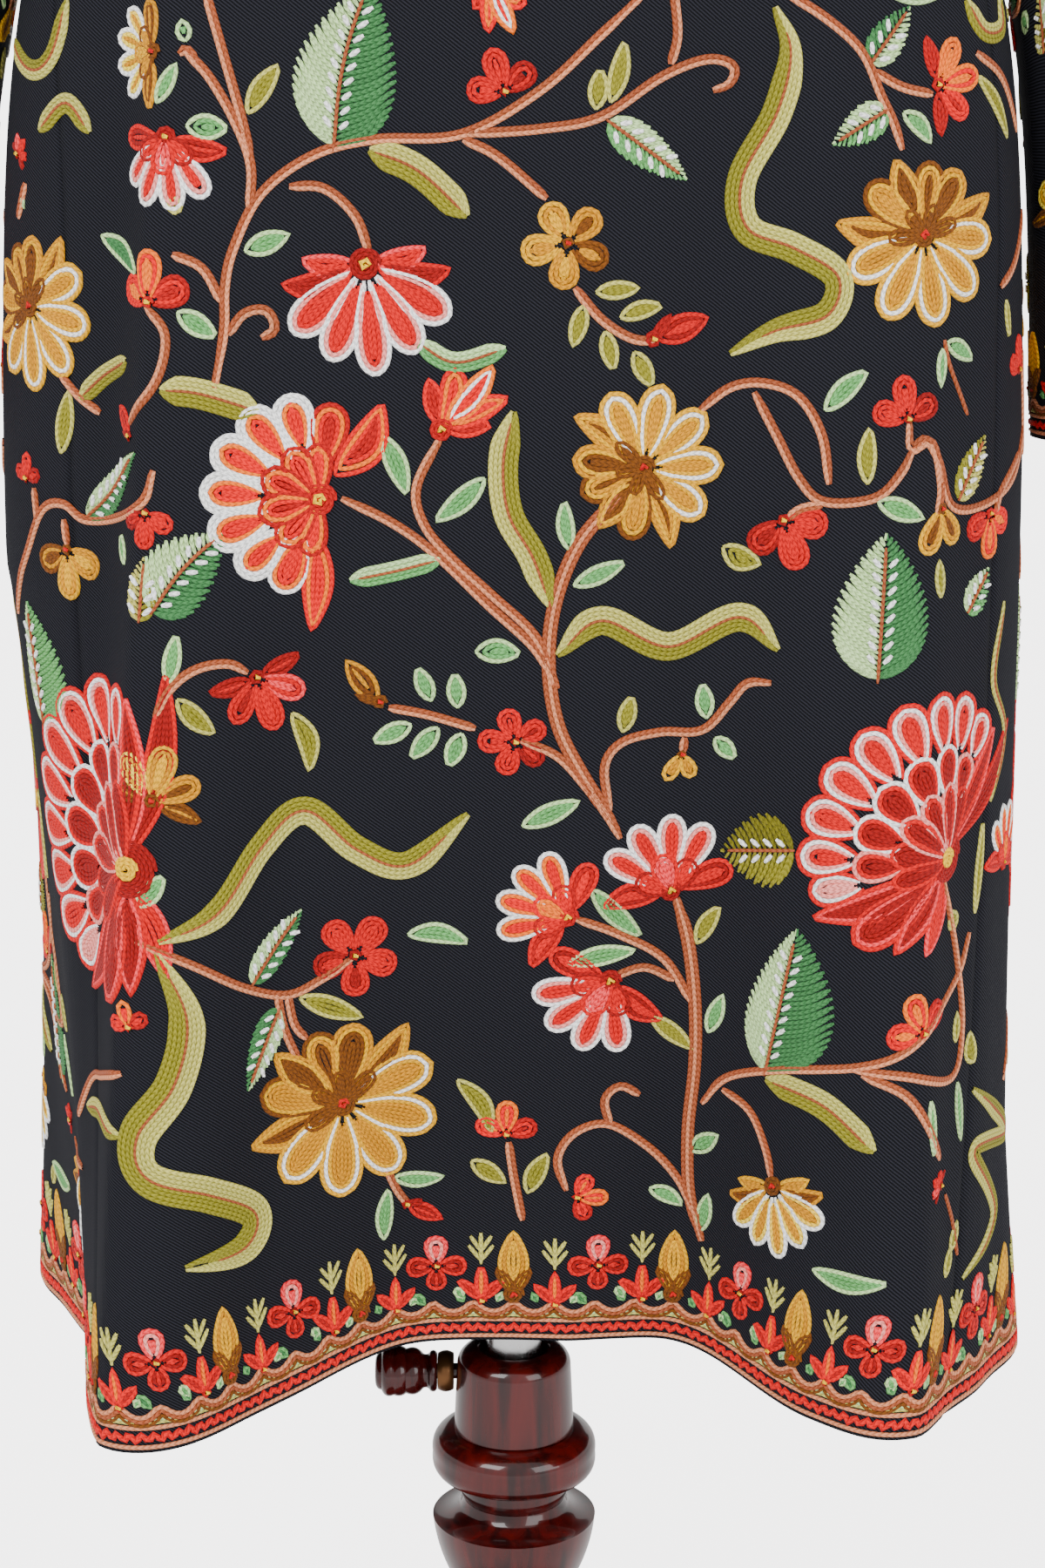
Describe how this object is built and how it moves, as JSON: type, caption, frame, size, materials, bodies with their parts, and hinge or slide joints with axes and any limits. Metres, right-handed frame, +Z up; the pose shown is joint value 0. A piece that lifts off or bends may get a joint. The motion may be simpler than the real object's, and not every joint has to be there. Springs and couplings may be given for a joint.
{
  "type": "pheran on a dress form",
  "caption": "Loose knee-length wool over-dress with embroidered vines, hanging open-hemmed on a limbless dress form with a turned wooden stand.",
  "frame": {"origin": "centre of the stand base's underside", "axes": "+Z up along the pole, the garment's front faces -Y, +X to the right seen from the front"},
  "size_m": [0.8722, 0.4323, 1.5],
  "materials": {
    "wool": "black wool twill with coloured chain-stitch embroidery",
    "form_cover": "plain natural jersey",
    "mahogany": "dark red-brown, glossy varnish",
    "steel": "brushed",
    "ferrule": "aged brown"
  },
  "bodies": {
    "stand": {"base": "mahogany", "column": "mahogany", "collar": "mahogany", "clamp_ferrule": "ferrule"},
    "knob": {"clamp_knob": "mahogany"},
    "pole": {"pole": "steel"},
    "garment": {"torso": "form_cover", "front_panel": "wool", "back_panel": "wool", "gore_left": "wool", "gore_right": "wool", "sleeve_left": "wool", "sleeve_right": "wool", "neckband": "wool"}
  },
  "joints": [
    {"name": "pole_height", "type": "slide", "parent": "stand", "child": "pole", "axis": [0, 0, 1], "range_m": [0, 0.12]},
    {"name": "form_turn", "type": "hinge", "parent": "pole", "child": "garment", "pos_m": [0, 0, 0.9], "axis": [0, 0, 1], "continuous": true},
    {"name": "knob_turn", "type": "hinge", "parent": "stand", "child": "knob", "pos_m": [-0.06, 0.008, 0.319], "axis": [-1, 0, 0], "continuous": true}
  ]
}
